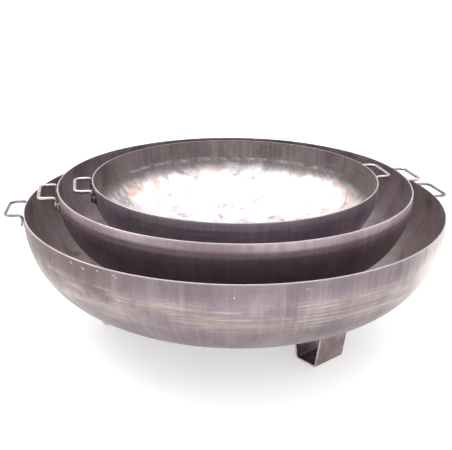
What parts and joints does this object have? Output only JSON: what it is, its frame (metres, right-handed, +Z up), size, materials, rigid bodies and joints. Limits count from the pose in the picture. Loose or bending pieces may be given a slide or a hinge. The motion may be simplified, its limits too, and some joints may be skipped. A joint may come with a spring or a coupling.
{
  "type": "nested fire bowl set",
  "caption": "Dished steel fire bowls nested one inside the other, each with two bent bar handles and standing on short feet bent from flat bar.",
  "frame": {"origin": "on the ground, under the common vertical axis of the three bowls", "axes": "+Z up along the bowls' axis, -Y towards the front, +X to the right; the handles lie near the X axis, 6 to 14 degrees off it"},
  "size_m": [1.0839, 1, 0.3685],
  "materials": {
    "large_bowl_steel": "bare hot-rolled plate with mill scale, mauve-grey, semi-matt, faint vertical streaks and tan scuffs",
    "medium_bowl_steel": "bare hot-rolled plate, brown-mauve, semi-matt",
    "small_bowl_steel": "bare hot-rolled plate, blue-violet scale, semi-matt",
    "bar_steel": "bare round bar, pale, lightly burnished",
    "foot_steel": "bare flat bar with mill scale, cut edges brighter",
    "weld_steel": "bare weld metal, fine ripple"
  },
  "bodies": {
    "large_bowl": {"large_bowl_shell": "large_bowl_steel", "large_handle_left": "bar_steel", "large_handle_left_welds": "weld_steel", "large_handle_right": "bar_steel", "large_handle_right_welds": "weld_steel", "large_foot_1": "foot_steel", "large_foot_1_welds": "weld_steel", "large_foot_2": "foot_steel", "large_foot_2_welds": "weld_steel", "large_foot_3": "foot_steel", "large_foot_3_welds": "weld_steel"},
    "medium_bowl": {"medium_bowl_shell": "medium_bowl_steel", "medium_handle_left": "bar_steel", "medium_handle_left_welds": "weld_steel", "medium_handle_right": "bar_steel", "medium_handle_right_welds": "weld_steel", "medium_foot_1": "foot_steel", "medium_foot_1_welds": "weld_steel", "medium_foot_2": "foot_steel", "medium_foot_2_welds": "weld_steel", "medium_foot_3": "foot_steel", "medium_foot_3_welds": "weld_steel"},
    "small_bowl": {"small_bowl_shell": "small_bowl_steel", "small_handle_left": "bar_steel", "small_handle_left_welds": "weld_steel", "small_handle_right": "bar_steel", "small_handle_right_welds": "weld_steel", "small_foot_1": "foot_steel", "small_foot_1_welds": "weld_steel", "small_foot_2": "foot_steel", "small_foot_2_welds": "weld_steel", "small_foot_3": "foot_steel", "small_foot_3_welds": "weld_steel"}
  },
  "joints": [
    {"name": "medium_lift", "type": "slide", "parent": "large_bowl", "child": "medium_bowl", "axis": [0, 0, 1], "range_m": [0, 0.26]},
    {"name": "small_lift", "type": "slide", "parent": "medium_bowl", "child": "small_bowl", "axis": [0, 0, 1], "range_m": [0, 0.22]}
  ]
}
